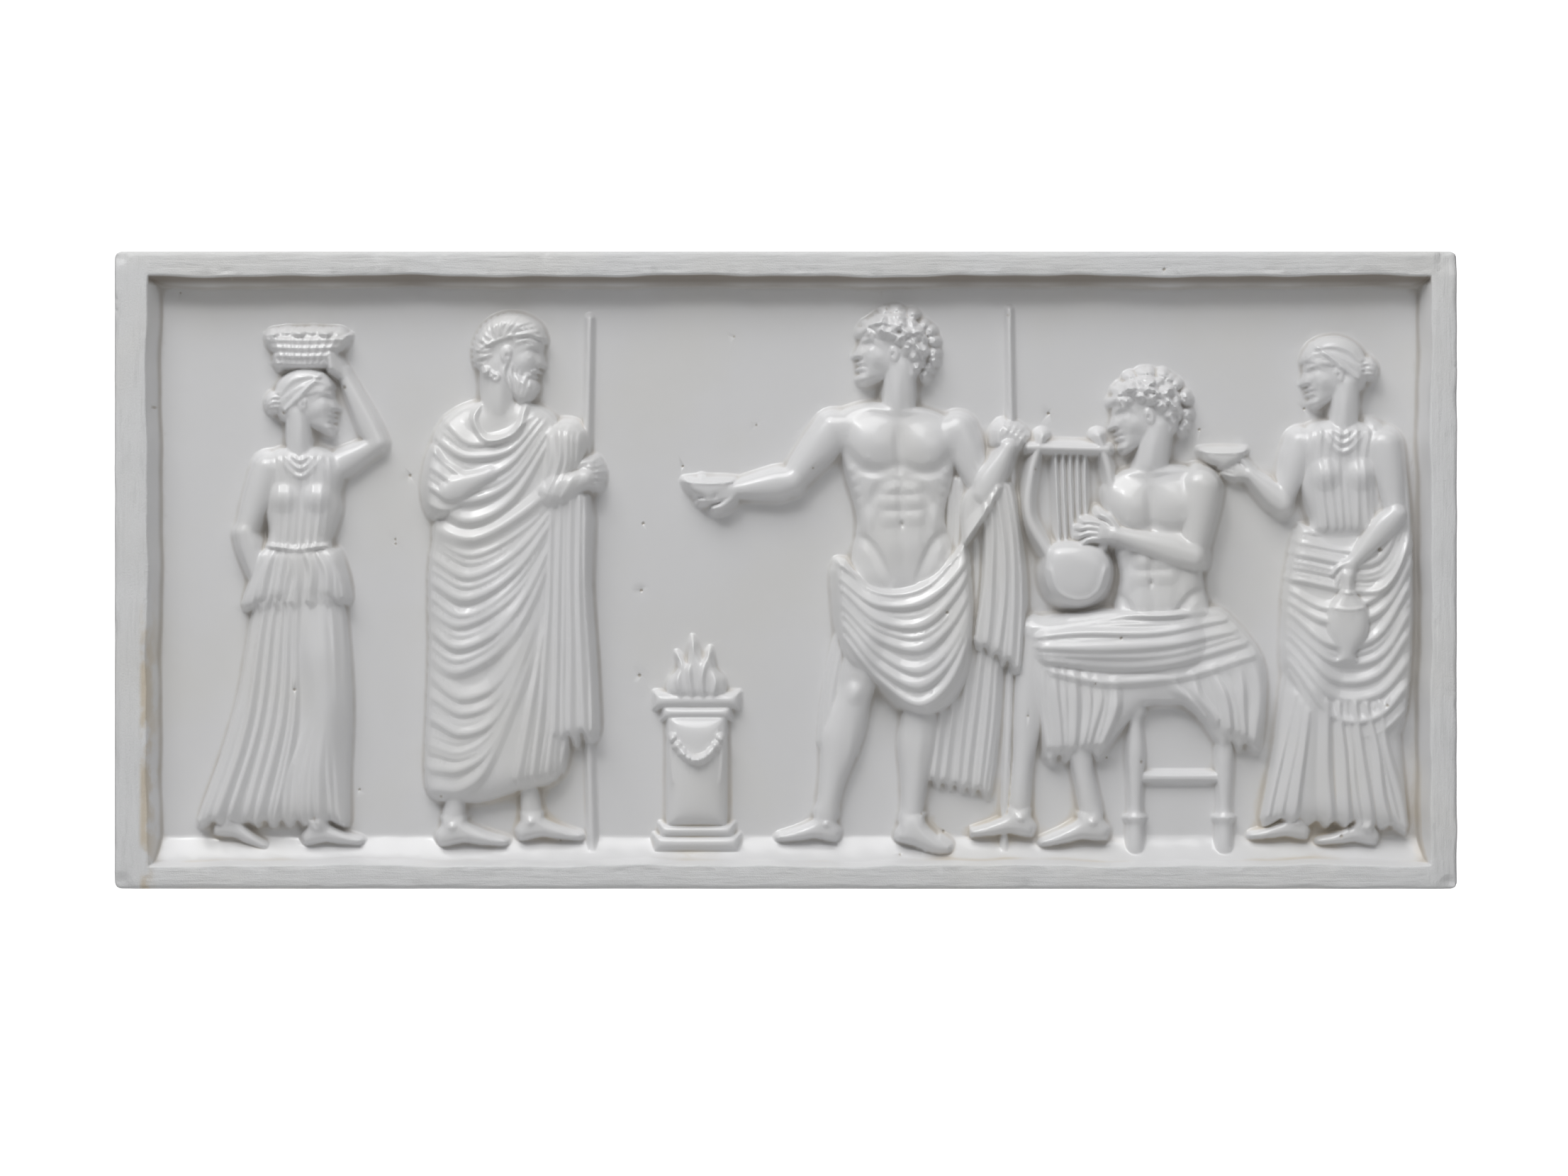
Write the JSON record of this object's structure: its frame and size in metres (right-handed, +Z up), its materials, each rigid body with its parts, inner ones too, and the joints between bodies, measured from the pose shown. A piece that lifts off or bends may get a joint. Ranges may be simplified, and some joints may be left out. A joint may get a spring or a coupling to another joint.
{
  "type": "plaster wall relief",
  "caption": "Long rectangular cast plaster wall relief with a raised frame, carved with classical draped figures round a small altar.",
  "frame": {"origin": "centre of the flat back, which lies against the wall", "axes": "+Z up, +X along the panel's length to the viewer's right, -Y out of the wall towards the viewer"},
  "size_m": [0.6, 0.0306, 0.285],
  "materials": {
    "plaster": "cool white cast plaster, satin to glossy on the ground and figures, matt brushed grey on the frame, with ochre stains in the reveals"
  },
  "bodies": {
    "root": {"relief_panel": "plaster"}
  },
  "joints": []
}
